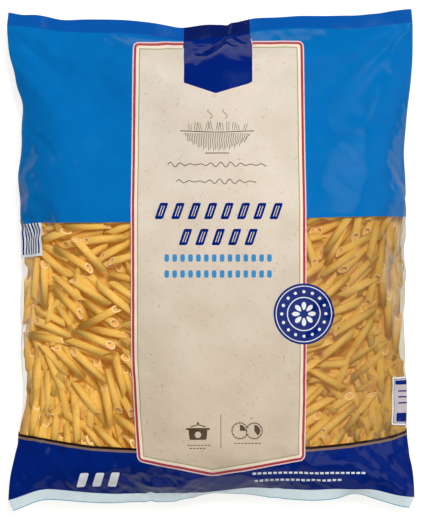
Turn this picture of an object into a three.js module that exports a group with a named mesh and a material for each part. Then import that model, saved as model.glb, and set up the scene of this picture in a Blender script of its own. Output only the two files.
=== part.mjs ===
// A 5 kg catering bag of small penne, lying on its back.
// The bag is one tube of film, closed by a flat seal at the top and at the bottom, and filled until it
// bulges. It is one closed solid here. Millimetres: X runs across the bag to its right, Y runs up the
// printed front, Z points away from the floor. The origin is the middle of the footprint, on the floor.
import * as THREE from "three";

// Outline of the filled bag, seen from above
const LENGTH = 500; // from the bottom corners to the top corners
const BODY_WIDTH = 386; // the filled middle, which the filling has drawn in
const EAR = { topLeft: 15, topRight: 7, bottomLeft: 12, bottomRight: 11 }; // corners beyond the body
const EAR_REACH = { top: 86, bottom: 80 }; // how far along the side a corner's flare reaches

// End seals: two layers of film pressed into a flat strip, drawn inwards between its corners
const SEAL_HEIGHT = { top: 13, bottom: 11 };
const SEAL_THICKNESS = 1.2;
const SEAL_LEVEL = { top: 33, bottom: 30 }; // height of the strip above the floor
const SEAL_RIPPLE = { top: 2.4, bottom: 3.4 }; // how far the strip waves up and down
const SEAL_WAVES = { top: 2.5, bottom: 3.5 }; // waves along the strip
const CORNER_LIFT = 6; // the four corners stand above the middle of their strip
const CORNER_FLARE = 1.5; // and reach this far outwards
const TOP_NOTCH = { at: -0.13, depth: 15.5, left: 1.0, right: 1.9 }; // a crease in the top strip
const BOTTOM_INSET = 12; // the bottom strip lies this far inside its corners
const BOTTOM_CORNER_POWER = 9; // how close to its corners the bottom strip comes back out
const BOTTOM_SCALLOP = { depth: 4.2, pitch: 0.77 }; // and waves in and out

// Fill: how thick the bag is, and how it closes towards the seals and the sides
const THICKNESS = 84;
const SIDE_LEVEL = 38; // height of the bag's side line, between its front and its back
const SHOULDER = { top: 200, bottom: 150 }; // length over which the front climbs to its full height
const CLIMB_POWER = 2.1; // how round the climb is
const BELLY = { top: 120, bottom: 105 }; // length over which the back drops from a seal to the floor
const SECTION_POWER = 3.2; // how square the bag's section is
const SECTION_ROUND = { ends: 1.25, middle: 2.3 }; // 1 closes the section in a wedge, 2 in a round
const BACK_DEPTH = 64; // how deep the back would hang if the floor did not hold it up
const FLOOR_BLEND = 6; // height over which the back rounds off into its flat resting patch

// Folds: pleats that fan out of the seals, and short buckles along the sides
const PLEATS = 9;
const PLEAT_DEPTH = 2.4;
const PLEAT_UNEVENNESS = 0.12; // share by which the pleats' spacing varies
const PLEAT_SHIFT = { bottom: 0.7, top: 1.9 }; // start of the pleats, the other way on the back
const PLEAT_PEAK = 24; // distance from the seal at which a pleat is deepest
const BUCKLES = 8;
const BUCKLE_SHIFT = 0.4; // share of a buckle by which the right side's lie higher
const BUCKLE_UNEVENNESS = 1.3; // how unevenly they are spaced
const BUCKLE_DEPTH = 1.3;
const BUCKLE_REACH = 0.16; // share of half the width over which a buckle dies out

// Fineness of the surface
const COLUMNS = 44;
const ROWS = 46;
const STRIP_ROWS = 2;
const EDGE_CROWDING = 0.7; // share by which the columns crowd towards the two sides

const FILM_COLOUR = 0x0f74bd;

const smooth = (x) => x * x * (3 - 2 * x);
const clamp = (x, low, high) => Math.min(high, Math.max(low, x));
const mix = (a, b, share) => a + (b - a) * share;
const halfLength = LENGTH / 2;

// How far the cut edge of a seal lies inside its corners, at a place across from -1 to 1
function sealInset(end, across) {
  if (end === "bottom") {
    const scallop = BOTTOM_SCALLOP.depth * Math.cos((2 * Math.PI * across) / BOTTOM_SCALLOP.pitch);
    return (BOTTOM_INSET + scallop) * (1 - Math.abs(across) ** BOTTOM_CORNER_POWER);
  }
  const { at, depth, left, right } = TOP_NOTCH;
  const away = across < at ? (at - across) / (1 + at) : (across - at) / (1 - at);
  return depth * Math.max(0, 1 - away) ** (across < at ? left : right);
}

// Y of a seal's inner line, where the two layers part
function sealLine(end, across) {
  const inset = SEAL_HEIGHT[end] + sealInset(end, across);
  return end === "top" ? halfLength - inset : inset - halfLength;
}

// Z of a seal strip: it sags between its corners and waves
function sealLevel(end, across) {
  const wave = Math.sin(Math.PI * SEAL_WAVES[end] * across) * (1 - across * across);
  return SEAL_LEVEL[end] + CORNER_LIFT * across ** 4 + SEAL_RIPPLE[end] * wave;
}

// Buckles along a side line: 1 on a crest, -1 between two, and none at the corners
function buckle(along, side) {
  const phase = along * BUCKLES + (side > 0 ? BUCKLE_SHIFT : 0);
  const uneven = BUCKLE_UNEVENNESS * Math.sin(7 * along);
  return Math.sin(2 * Math.PI * phase + uneven) * Math.sin(Math.PI * along) ** 2;
}

// X of a side line at a height y
function sideLine(side, y, along) {
  const name = side > 0 ? "Right" : "Left";
  const fromTop = clamp(1 - (halfLength - y) / EAR_REACH.top, 0, 1);
  const fromBottom = clamp(1 - (y + halfLength) / EAR_REACH.bottom, 0, 1);
  const flare = EAR["top" + name] * smooth(fromTop) + EAR["bottom" + name] * smooth(fromBottom);
  return side * (BODY_WIDTH / 2 + flare + BUCKLE_DEPTH * buckle(along, side));
}

// Share of the full height that the fill reaches at a distance from a seal
function climb(distance, reach) {
  return 1 - (1 - clamp(distance / reach, 0, 1)) ** CLIMB_POWER;
}

// Height of the back where the floor holds it up: flat on the floor, and rounded off around that patch
function held(z) {
  if (z >= FLOOR_BLEND) return z;
  return z <= -FLOOR_BLEND ? 0 : (z + FLOOR_BLEND) ** 2 / (4 * FLOOR_BLEND);
}

// Pleats that start at a seal, peak close to it and fade into the body
function pleats(across, distance, shift) {
  const depth = (distance / PLEAT_PEAK) * Math.exp(1 - distance / PLEAT_PEAK);
  const fan = across * PLEATS * (1 + PLEAT_UNEVENNESS * Math.sin(5 * across + shift)) + shift;
  return PLEAT_DEPTH * depth * Math.sin(Math.PI * fan) * (1 - across ** 6);
}

// A point of the film: across runs from -1 to 1, along from 0 at the bottom seal to 1 at the top seal,
// and layer is 1 on the front and -1 on the back
function filmPoint(across, along, layer) {
  const bottom = sealLine("bottom", across);
  const top = sealLine("top", across);
  const y = mix(bottom, top, along);
  const left = sideLine(-1, y, along);
  const right = sideLine(1, y, along);
  const x = mix(left, right, (across + 1) / 2);
  const fromBottom = y - bottom;
  const fromTop = top - y;

  const body = climb(fromBottom, BELLY.bottom) * climb(fromTop, BELLY.top);
  const seal = mix(sealLevel("bottom", across), sealLevel("top", across), smooth(along));
  const side = mix(seal, SIDE_LEVEL, body);
  const round = mix(SECTION_ROUND.ends, SECTION_ROUND.middle, body);
  const section = (1 - Math.abs(across) ** SECTION_POWER) ** (1 / round);
  const bottomFolds = pleats(across, fromBottom, PLEAT_SHIFT.bottom * layer);
  const topFolds = pleats(across, fromTop, PLEAT_SHIFT.top * layer);
  const sideFold = buckle(along, Math.sign(across)) * Math.exp(-(1 - Math.abs(across)) / BUCKLE_REACH);
  const relief = section * (bottomFolds + topFolds + 2 * BUCKLE_DEPTH * sideFold);

  if (layer > 0) {
    const rise = climb(fromBottom, SHOULDER.bottom) * climb(fromTop, SHOULDER.top);
    return [x, y, side + (THICKNESS - side) * section * rise + relief];
  }
  return [x, y, held(side - BACK_DEPTH * section * body + relief)];
}

// A point of a seal strip: out runs from 0 at the seal's inner line to 1 at the cut edge
function stripPoint(end, across, out, layer) {
  const outward = end === "top" ? 1 : -1;
  const inner = filmPoint(across, end === "top" ? 1 : 0, layer);
  const y = inner[1] + outward * SEAL_HEIGHT[end] * out;
  const side = across < 0 ? -1 : 1;
  const flare = Math.abs(across) ** 12 * CORNER_FLARE * out;
  return [inner[0] + side * flare, y, sealLevel(end, across) + (layer * SEAL_THICKNESS) / 2];
}

// The whole film as one grid per layer: the bottom strip, the body and the top strip, row by row.
// Both layers share the outer ring of points in plan, and a thin wall joins them there.
function bagGeometry() {
  const positions = [];
  const rowCount = ROWS + 2 * STRIP_ROWS;
  const pointAt = (column, row, layer) => {
    const across = (2 * column) / COLUMNS - 1;
    const eased = mix(across, Math.sin((Math.PI / 2) * across), EDGE_CROWDING);
    let point;
    if (row <= STRIP_ROWS) point = stripPoint("bottom", eased, 1 - row / STRIP_ROWS, layer);
    else if (row >= rowCount - STRIP_ROWS) {
      point = stripPoint("top", eased, 1 - (rowCount - row) / STRIP_ROWS, layer);
    } else {
      point = filmPoint(eased, (row - STRIP_ROWS) / ROWS, layer);
      const onSide = column === 0 || column === COLUMNS;
      if (onSide) point[2] += (layer * SEAL_THICKNESS) / 2;
    }
    return point;
  };
  const index = new Map();
  const vertex = (column, row, layer) => {
    const key = `${column},${row},${layer}`;
    if (!index.has(key)) {
      index.set(key, positions.length / 3);
      positions.push(...pointAt(column, row, layer));
    }
    return index.get(key);
  };
  const faces = [];
  const quad = (a, b, c, d) => faces.push(a, b, c, a, c, d);
  for (let row = 0; row < rowCount; row++) {
    for (let column = 0; column < COLUMNS; column++) {
      const ring = (layer) => [
        vertex(column, row, layer),
        vertex(column + 1, row, layer),
        vertex(column + 1, row + 1, layer),
        vertex(column, row + 1, layer),
      ];
      quad(...ring(1));
      quad(...ring(-1).reverse());
    }
  }
  for (let column = 0; column < COLUMNS; column++) {
    quad(vertex(column, 0, -1), vertex(column + 1, 0, -1), vertex(column + 1, 0, 1), vertex(column, 0, 1));
    const [a, b] = [vertex(column, rowCount, 1), vertex(column + 1, rowCount, 1)];
    quad(a, b, vertex(column + 1, rowCount, -1), vertex(column, rowCount, -1));
  }
  for (let row = 0; row < rowCount; row++) {
    quad(vertex(0, row, 1), vertex(0, row + 1, 1), vertex(0, row + 1, -1), vertex(0, row, -1));
    const [a, b] = [vertex(COLUMNS, row, -1), vertex(COLUMNS, row + 1, -1)];
    quad(a, b, vertex(COLUMNS, row + 1, 1), vertex(COLUMNS, row, 1));
  }
  const geometry = new THREE.BufferGeometry();
  geometry.setAttribute("position", new THREE.Float32BufferAttribute(positions, 3));
  geometry.setIndex(faces);
  geometry.computeBoundingBox();
  const { min, max } = geometry.boundingBox;
  geometry.translate(-(min.x + max.x) / 2, -(min.y + max.y) / 2, -min.z);
  geometry.computeVertexNormals();
  return geometry;
}

const film = new THREE.MeshStandardMaterial({ color: FILM_COLOUR, roughness: 0.25, metalness: 0 });
const bag = new THREE.Mesh(bagGeometry(), film);
bag.name = "bag";

const packet = new THREE.Group();
packet.add(bag);

export default packet;
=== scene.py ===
import math

import bpy
import numpy as np
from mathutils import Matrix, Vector
from mathutils.bvhtree import BVHTree
from mathutils.geometry import delaunay_2d_cdt


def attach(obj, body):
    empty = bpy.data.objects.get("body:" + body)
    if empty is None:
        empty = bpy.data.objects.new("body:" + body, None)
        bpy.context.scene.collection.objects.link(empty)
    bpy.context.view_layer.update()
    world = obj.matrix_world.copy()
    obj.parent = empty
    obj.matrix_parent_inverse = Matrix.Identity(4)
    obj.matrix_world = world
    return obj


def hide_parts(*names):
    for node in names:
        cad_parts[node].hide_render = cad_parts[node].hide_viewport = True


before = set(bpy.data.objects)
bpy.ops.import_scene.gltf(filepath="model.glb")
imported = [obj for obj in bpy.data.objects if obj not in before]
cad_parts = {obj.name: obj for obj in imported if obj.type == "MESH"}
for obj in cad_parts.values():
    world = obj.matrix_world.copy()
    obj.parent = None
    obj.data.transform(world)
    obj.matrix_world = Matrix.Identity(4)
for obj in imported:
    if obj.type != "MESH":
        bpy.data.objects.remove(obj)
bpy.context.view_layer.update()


# Camera. The packet lies on its back, so the camera looks straight down on its printed front from
# 2.4 m, with the top of the packet at the top of the picture. One pixel is 1 mm at its side lines.
PICTURE_HEIGHT = 518
PIXEL = 0.001
PICTURE_MIDDLE = (0.0035, 0.0005)
CAMERA_DISTANCE = 2.4
SIDE_LINE_HEIGHT = 0.038
camera_data = bpy.data.cameras.new("camera")
camera_data.sensor_width = 36.0
camera_data.lens = camera_data.sensor_width * CAMERA_DISTANCE / (PICTURE_HEIGHT * PIXEL)
camera = bpy.data.objects.new("camera", camera_data)
camera.location = (*PICTURE_MIDDLE, SIDE_LINE_HEIGHT + CAMERA_DISTANCE)
bpy.context.scene.collection.objects.link(camera)
bpy.context.scene.camera = camera


# Form of the filled film. The packet is a tube of thin oriented polypropylene, laid flat, sealed across
# both ends, and blown out by 10 litres of pasta until it is a pillow. It is cut flat here, as two layers
# joined along their edges, and a cloth simulation fills it and lets it settle on the floor.
TUBE_WIDTH = 0.412
TUBE_SLACK = 0.008
SEALED_LENGTH = 0.486
CLOTH_CELL = 0.0065
FILLED_VOLUME = 0.0106
START_HEIGHT = 0.040
START_BULGE = 0.012
START_UNEVENNESS = 0.0003
LAST_FRAME = 100
SETTLED_FRAME = 40
columns = round(TUBE_WIDTH / CLOTH_CELL)
rows = round(SEALED_LENGTH / CLOTH_CELL)
flat_points = []
flat_faces = []
flat_index = {}
start_noise = np.random.default_rng(11)


def flat_vertex(layer, column, row):
    """Index of a point of the flat tube. Both layers, 1 and -1, share the points on its edge."""
    on_edge = column in (0, columns) or row in (0, rows)
    key = (0 if on_edge else layer, column, row)
    if key not in flat_index:
        across = 2 * column / columns - 1
        along = row / rows
        width = TUBE_WIDTH
        if 0 < row < rows:
            width += TUBE_SLACK * math.sin(math.pi * along) ** 0.7
        crown = (1 - across**2) * (1 - (2 * along - 1) ** 2)
        lift = 0.0 if on_edge else start_noise.uniform(-1, 1) * START_UNEVENNESS
        flat_index[key] = len(flat_points)
        height = START_HEIGHT + layer * START_BULGE * crown + lift
        flat_points.append((across * width / 2, (along - 0.5) * SEALED_LENGTH, height))
    return flat_index[key]


for layer in (1, -1):
    for column in range(columns):
        for row in range(rows):
            corners = ((column, row), (column + 1, row), (column + 1, row + 1), (column, row + 1))
            face = [flat_vertex(layer, *corner) for corner in corners]
            flat_faces.append(face if layer == 1 else face[::-1])

flat_mesh = bpy.data.meshes.new("flat_tube")
flat_mesh.from_pydata(flat_points, [], flat_faces)
flat_tube = bpy.data.objects.new("flat_tube", flat_mesh)
bpy.context.scene.collection.objects.link(flat_tube)
table_mesh = bpy.data.meshes.new("filling_table")
table_mesh.from_pydata([(-1, -1, 0), (1, -1, 0), (1, 1, 0), (-1, 1, 0)], [], [(0, 1, 2, 3)])
table = bpy.data.objects.new("filling_table", table_mesh)
bpy.context.scene.collection.objects.link(table)
table.modifiers.new("collision", "COLLISION")
table.collision.thickness_outer = 0.001
table.collision.cloth_friction = 20
cloth = flat_tube.modifiers.new("filling", "CLOTH")
cloth.settings.quality = 6
cloth.settings.mass = 0.0005
cloth.settings.tension_stiffness = 40
cloth.settings.compression_stiffness = 40
cloth.settings.shear_stiffness = 25
cloth.settings.bending_stiffness = 0.02
cloth.settings.tension_damping = 2
cloth.settings.compression_damping = 2
cloth.settings.shear_damping = 2
cloth.settings.bending_damping = 0.2
cloth.settings.air_damping = 2
cloth.settings.use_pressure = True
cloth.settings.uniform_pressure_force = 0.0
cloth.settings.use_pressure_volume = True
cloth.settings.target_volume = FILLED_VOLUME
cloth.settings.pressure_factor = 1
cloth.settings.fluid_density = 0.1
cloth.collision_settings.use_collision = True
cloth.collision_settings.collision_quality = 2
cloth.collision_settings.distance_min = 0.001
cloth.point_cache.frame_end = LAST_FRAME
bpy.context.scene.frame_start = 1
bpy.context.scene.frame_end = LAST_FRAME
for moment in range(1, SETTLED_FRAME + 1):
    bpy.context.scene.frame_set(moment)
settled = flat_tube.evaluated_get(bpy.context.evaluated_depsgraph_get()).to_mesh()
settled_points = np.zeros(len(settled.vertices) * 3)
settled.vertices.foreach_get("co", settled_points)
settled_points = settled_points.reshape(-1, 3) * 1000
bpy.data.objects.remove(flat_tube)
bpy.data.objects.remove(table)
bpy.context.scene.frame_set(1)

# One ring of points around the tube for each row: the front from left to right, then the back.
ring_size = 2 * columns
rings = np.zeros((rows + 1, ring_size, 3))
for row in range(rows + 1):
    for step in range(ring_size):
        on_front = step <= columns
        column = step if on_front else ring_size - step
        on_edge = column in (0, columns) or row in (0, rows)
        key = (0 if on_edge else (1 if on_front else -1), column, row)
        rings[row, step] = settled_points[flat_index[key]]


# Film over dry pasta keeps few sharp creases in its middle and more along its sides and seals, so what the
# simulation creased is partly smoothed away, most of all in the middle.
def softened(points, cells):
    """The ring points, blurred over a few cells. The two seal rows stay where they are."""
    half = int(4 * cells) + 1
    weights = np.exp(-0.5 * (np.arange(-half, half + 1) / cells) ** 2)
    weights /= weights.sum()
    blurred = sum(w * np.roll(points, shift, axis=1) for shift, w in zip(range(-half, half + 1), weights))
    below = 2 * blurred[:1] - blurred[half:0:-1]
    above = 2 * blurred[-1:] - blurred[-2:-half - 2:-1]
    padded = np.concatenate([below, blurred, above])
    return sum(w * padded[start:start + len(points)] for start, w in enumerate(weights))


smooth_rings = softened(rings, 1.6)
side_distance = (columns / 2 - np.abs(np.arange(ring_size) % columns - columns / 2)) * CLOTH_CELL
seal_distance = (rows / 2 - np.abs(np.arange(rows + 1) - rows / 2)) * CLOTH_CELL
near_side = np.exp(-((side_distance / 0.040) ** 2))[None, :]
near_seal = np.exp(-((seal_distance / 0.035) ** 2))[:, None]
creases = 0.25 + 0.45 * near_side + 0.15 * near_seal
rings = smooth_rings + creases[..., None] * (rings - smooth_rings)

# The real packet's outline, in millimetres from its middle: the two seal lines and the two sides, each
# as a few points. The settled tube is eased onto it, which moves no point by more than about 12 mm.
TOP_SEAL_LINE = (
    (-205, 234.5), (-176, 232.5), (-150, 228), (-110, 227), (-85, 226.5), (-60, 224), (-27, 218.5),
    (0, 222.5), (28, 224.5), (44, 229.5), (90, 232.5), (110, 231.5), (145, 230.5), (170, 234), (203, 238),
)
BOTTOM_SEAL_LINE = (
    (-205, -243), (-192, -239.5), (-182, -235.5), (-170, -230.5), (-160, -229.5), (-120, -233.5),
    (-95, -235), (-60, -234), (-5, -233.5), (40, -228), (100, -231), (125, -229.5), (142, -230.5),
    (160, -229.5), (185, -236.5), (203, -238),
)
LEFT_SIDE = (
    (-245, -203), (-215, -200.5), (-190, -195), (-165, -193), (-143, -188.5), (-105, -190), (-60, -190.5),
    (0, -189.5), (50, -190.5), (85, -193), (112, -188.5), (135, -188), (154, -187.5), (163, -189),
    (171, -195), (186, -196), (205, -202), (245, -204.5),
)
RIGHT_SIDE = (
    (-245, 204.5), (-215, 203.5), (-190, 198.5), (-165, 197.5), (-143, 197.5), (-118, 197), (-60, 194.5),
    (0, 196.5), (50, 196), (85, 195), (110, 193.5), (150, 197.5), (180, 200.5), (205, 202.5), (245, 202.5),
)


def curve(points, at, softness=6.0):
    """A smooth line through a few points."""
    fine = np.arange(points[0][0] - 40, points[-1][0] + 41, 1.0)
    value = np.interp(fine, [p[0] for p in points], [p[1] for p in points])
    weight = np.exp(-0.5 * (np.arange(-30, 31) / softness) ** 2)
    value = np.convolve(np.pad(value, 30, mode="edge"), weight / weight.sum(), mode="valid")
    return np.interp(at, fine, value)


def eased(values, low_from, high_from, low_to, high_to):
    """Values moved so that what lay between one pair of limits lies between another."""
    share = (values - low_from) / (high_from - low_from)
    return low_to + share * (high_to - low_to)


def seal_curve(row):
    """The simulated seal line, as points from left to right."""
    order = np.argsort(rings[row, :, 0])
    pairs = rings[row][order]
    return list(zip(pairs[:, 0], pairs[:, 1]))


bottom_from = curve(seal_curve(0), rings[:, :, 0], 3.0)
top_from = curve(seal_curve(rows), rings[:, :, 0], 3.0)
bottom_to = curve(BOTTOM_SEAL_LINE, rings[:, :, 0])
top_to = curve(TOP_SEAL_LINE, rings[:, :, 0])
rings[:, :, 1] = eased(rings[:, :, 1], bottom_from, top_from, bottom_to, top_to)
left_points = sorted((ring[ring[:, 0].argmin(), 1], ring[:, 0].min()) for ring in rings)
right_points = sorted((ring[ring[:, 0].argmax(), 1], ring[:, 0].max()) for ring in rings)
left_from = curve(left_points, rings[:, :, 1], 3.0)
right_from = curve(right_points, rings[:, :, 1], 3.0)
left_to = curve(LEFT_SIDE, rings[:, :, 1])
right_to = curve(RIGHT_SIDE, rings[:, :, 1])
rings[:, :, 0] = eased(rings[:, :, 0], left_from, right_from, left_to, right_to)

# From here a place on the film has two numbers in millimetres: around runs round the tube from 0 at the
# middle of the front to 412 at the middle of the back, and along runs up from 0 at half the length.
HALF_TUBE = TUBE_WIDTH * 1000
HALF_LENGTH = SEALED_LENGTH * 500

# The seal strips: how far their ends lean inwards for each millimetre from the seal line, and how far
# each of the two fused layers lies from the middle of the strip.
TOP_STRIP_LEAN = 0.1
BOTTOM_STRIP_LEAN = 0.45
STRIP_END = 205
STRIP_LAYER = 0.15


def cubic(share):
    """Weights of the four points around a share from 0 to 1 between the middle two."""
    square = share * share
    cube = square * share
    return (
        -0.5 * share + square - 0.5 * cube,
        1 - 2.5 * square + 1.5 * cube,
        0.5 * share + 2 * square - 1.5 * cube,
        -0.5 * square + 0.5 * cube,
    )


def film_place(around, along):
    """Points of the filled film, in millimetres. Past a seal line the film goes on as its seal strip."""
    around = np.asarray(around, float)
    along = np.asarray(along, float)
    step = (around / HALF_TUBE + 0.5) * columns
    inside = np.clip(along, -HALF_LENGTH, HALF_LENGTH)
    height = (inside / (2 * HALF_LENGTH) + 0.5) * rows
    base_step = np.floor(step).astype(int)
    base_row = np.minimum(np.floor(height).astype(int), rows - 1)
    total = np.zeros(around.shape + (3,))
    for row_offset, row_weight in zip((-1, 0, 1, 2), cubic(height - base_row)):
        row_index = np.clip(base_row + row_offset, 0, rows)
        for step_offset, step_weight in zip((-1, 0, 1, 2), cubic(step - base_step)):
            step_index = (base_step + step_offset) % ring_size
            total += (row_weight * step_weight)[..., None] * rings[row_index, step_index]
    beyond = along - inside
    past = np.abs(beyond) > 0
    if past.any():
        tilt = np.radians(strip_tilt(total[..., 0], beyond))
        on_front = np.abs((around + HALF_TUBE) % (2 * HALF_TUBE) - HALF_TUBE) <= HALF_TUBE / 2
        lean = np.where(beyond > 0, TOP_STRIP_LEAN, BOTTOM_STRIP_LEAN)
        trimmed = lean * np.abs(beyond) * (np.abs(total[..., 0]) / STRIP_END) ** 10
        total[..., 0] -= np.sign(total[..., 0]) * trimmed
        total[..., 1] += beyond * np.cos(tilt)
        total[..., 2] -= np.abs(beyond) * np.sin(tilt)
        total[..., 2] += np.where(past, np.where(on_front, STRIP_LAYER, -STRIP_LAYER), 0)
    return total


# How far the bottom strip hangs down, in degrees, at a few places across the packet.
BOTTOM_STRIP_TILT = (
    (-205, 5), (-165, 10), (-130, 18), (-110, 22), (-80, 34), (-40, 30), (-15, 60), (-5, 80), (10, 72),
    (30, 55), (60, 25), (90, 10), (112, 3), (125, 14), (140, 66), (152, 60), (165, 25), (180, 28), (203, 8),
)


def strip_tilt(x, beyond):
    """How many degrees a seal strip hangs down from level, across the packet."""
    bottom = curve(BOTTOM_STRIP_TILT, x)
    top = 10 + 7 * np.sin(x / 37) + 9 * np.sin(x / 11.3 + 2 * np.sin(x / 29))
    return np.where(beyond > 0, top, bottom)


def film_frame(around, along):
    """Points of the filled form, with the unit vector that points out of the packet at each."""
    reach = 1.5
    here = film_place(around, along)
    over = film_place(around + reach, along) - film_place(around - reach, along)
    up = film_place(around, along + reach) - film_place(around, along - reach)
    out = np.cross(over, up)
    out /= np.maximum(np.linalg.norm(out, axis=-1, keepdims=True), 1e-9)
    return here, out


def sight_line(x, y):
    """Where the camera's sight line through a point at side-line height meets the front of the film."""
    x = np.asarray(x, float)
    y = np.asarray(y, float)
    around = x.copy()
    along = y.copy()
    eye = np.array(camera.location) * 1000

    def seen(around, along):
        point = film_place(around, along)
        nearer = CAMERA_DISTANCE * 1000 / (eye[2] - point[..., 2])
        return eye[0] + (point[..., 0] - eye[0]) * nearer, eye[1] + (point[..., 1] - eye[1]) * nearer

    for attempt in range(25):
        here_x, here_y = seen(around, along)
        right_x, right_y = seen(around + 1, along)
        up_x, up_y = seen(around, along + 1)
        a, b, c, d = right_x - here_x, up_x - here_x, right_y - here_y, up_y - here_y
        scale = a * d - b * c
        scale = np.where(np.abs(scale) < 0.05, 0.05, scale)
        miss_x, miss_y = x - here_x, y - here_y
        around = around + np.clip((d * miss_x - b * miss_y) / scale, -5, 5) * 0.8
        along = along + np.clip((a * miss_y - c * miss_x) / scale, -5, 5) * 0.8
    return around, along


# Pasta. Small ridged penne, extruded from durum wheat dough and cut off at a slant by a turning knife, so
# that both ends lie parallel. They are laid one by one against the clear film from inside, as if it were
# a flat floor, each at rest on the ones before, and then bent round the packet's form.
PENNE_DIAMETER = 7.9
PENNE_LENGTH = 38.0
PENNE_WALL = 1.15
RIDGE_DEPTH = 0.28
CUT_SLOPE = 1.15
WINDOW_TOP = 40.0
WINDOW_BOTTOM = -190.0
RIGHT_SIDE_LINE = HALF_TUBE / 2
LEFT_SIDE_LINE = -RIGHT_SIDE_LINE
SIDE_BAND = 31.0
FIRST_AT_SIDE = 26
LAST_AT_SIDE = 34
penne_rng = np.random.default_rng(7)


def left_heading(around, along):
    """How penne lie behind the left window, in degrees: level at the top, steep at the bottom."""
    levels = (-190, -110, -95, -72, -62, -5, 10, 40)
    inside = np.interp(along, levels, (-78, -70, -12, -6, -30, -26, 8, 20))
    return np.where(np.abs(around - LEFT_SIDE_LINE) > SIDE_BAND, inside, -88)


def right_heading(around, along):
    """The same behind the right window, where they lie steeper near the side."""
    levels = (-190, -130, -100, -70, -40, 40)
    inside = np.interp(along, levels, (48, 42, 14, 30, 48, 44)) + (around > 150) * 18
    return np.where(np.abs(around - RIGHT_SIDE_LINE) > SIDE_BAND, inside, 86)


def laid_penne(low, high, heading, side_line, count):
    """Penne laid on a stretch of film: around, along, angle, depth, slope, length and radius of each.

    Each is the flattest and shallowest of a few tries. pile is how deep the penne reach so far at each
    millimetre, and gap is how far the nearest of them lies from the film. Some lie along the side line.
    """
    size = np.ceil(high - low).astype(int) + 1
    pile = np.zeros(size)
    gap = np.full(size, 12.0)
    laid = []
    tries = 48
    for number in range(count):
        centre = penne_rng.uniform(low, high, (tries, 2))
        if number < FIRST_AT_SIDE or number >= count - LAST_AT_SIDE:
            centre[:, 0] = penne_rng.uniform(side_line - 9, side_line + 9, tries)
        angle = np.radians(heading(centre[:, 0], centre[:, 1]) + penne_rng.normal(0, 15, tries))
        stray = penne_rng.random(tries) < 0.2
        angle = np.where(stray, angle + penne_rng.uniform(-1.3, 1.3, tries), angle)
        radius = PENNE_DIAMETER / 2 * penne_rng.uniform(0.96, 1.05)
        length = PENNE_LENGTH * penne_rng.uniform(0.9, 1.1)
        reach = np.linspace(-0.5, 0.5, 9) * (length + radius)
        side = np.linspace(-0.92, 0.92, 7) * radius
        lift = np.sqrt(radius**2 - side**2)
        direction = np.stack([np.cos(angle), np.sin(angle)], 1)
        normal = np.stack([-direction[:, 1], direction[:, 0]], 1)
        spot = centre[:, None, None] + reach[:, None, None] * direction[:, None, None]
        spot = spot + side[:, None] * normal[:, None, None]
        cell = np.clip(np.round(spot - low).astype(int), 0, size - 1)
        height = (pile[cell[..., 0], cell[..., 1]] + lift).max(2)
        middle = len(reach) // 2
        depth = height[:, middle].copy()
        slope = np.zeros(tries)
        for behind in range(middle):
            for ahead in range(middle + 1, len(reach)):
                span = reach[ahead] - reach[behind]
                level = (height[:, behind] * reach[ahead] - height[:, ahead] * reach[behind]) / span
                higher = level > depth
                depth = np.where(higher, level, depth)
                slope = np.where(higher, (height[:, ahead] - height[:, behind]) / span, slope)
        best = (depth + 14 * np.abs(slope) + 100 * (np.abs(slope) > 0.5)).argmin()
        fine_reach = np.arange(-length / 2, length / 2, 0.7)[:, None]
        fine_side = np.linspace(-0.97, 0.97, 11)[None] * radius
        spot = centre[best] + fine_reach[..., None] * direction[best] + fine_side[..., None] * normal[best]
        cell = np.clip(np.round(spot - low).astype(int), 0, size - 1)
        axis_depth = depth[best] + slope[best] * fine_reach
        bulge = np.sqrt(radius**2 - fine_side**2)
        np.maximum.at(pile, (cell[..., 0], cell[..., 1]), axis_depth + bulge)
        np.minimum.at(gap, (cell[..., 0], cell[..., 1]), axis_depth - bulge)
        laid.append((*centre[best], angle[best], depth[best], slope[best], length, radius))
    return np.array(laid), gap


# The two stretches of film that the penne are laid on, each from a low corner to a high one. They reach
# past the windows on all sides, and round to the back.
LEFT_STRETCH = (np.array((-312.0, WINDOW_BOTTOM - 30)), np.array((-66.0, WINDOW_TOP + 14)))
RIGHT_STRETCH = (np.array((82.0, WINDOW_BOTTOM - 30)), np.array((312.0, WINDOW_TOP + 14)))
LEFT_COUNT = 760
RIGHT_COUNT = 720
left_penne, left_gap = laid_penne(*LEFT_STRETCH, left_heading, LEFT_SIDE_LINE, LEFT_COUNT)
right_penne, right_gap = laid_penne(*RIGHT_STRETCH, right_heading, RIGHT_SIDE_LINE, RIGHT_COUNT)
laid = np.concatenate([left_penne, right_penne])
laid_around, laid_along, laid_angle, laid_depth, laid_slope, laid_length, laid_radius = laid.T


def soft_noise(around, along, pitch, seed):
    """Smooth bumps from -1 to 1, about a pitch apart, that meet at the middle of the back."""
    across_count = round(2 * HALF_TUBE / pitch)
    up_count = round(560 / pitch) + 4
    knots = np.random.default_rng(seed).uniform(-1, 1, (up_count, across_count))
    column_at = (np.asarray(around) / (2 * HALF_TUBE) + 0.5) * across_count
    row_at = np.clip((np.asarray(along) + 280) / pitch + 1, 1, up_count - 3)
    base_column = np.floor(column_at).astype(int)
    base_row = np.floor(row_at).astype(int)
    total = 0
    for row_offset, row_weight in zip((-1, 0, 1, 2), cubic(row_at - base_row)):
        for column_offset, column_weight in zip((-1, 0, 1, 2), cubic(column_at - base_column)):
            knot = knots[base_row + row_offset, (base_column + column_offset) % across_count]
            total = total + row_weight * column_weight * knot
    return total


# The film lies on the pasta and sinks a little between the penne, which shows as soft dents all over,
# and as the penne's own shapes in the clear windows.
DEEPEST_DENT = 4.0
DENT_SOFTNESS = 3.2


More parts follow.
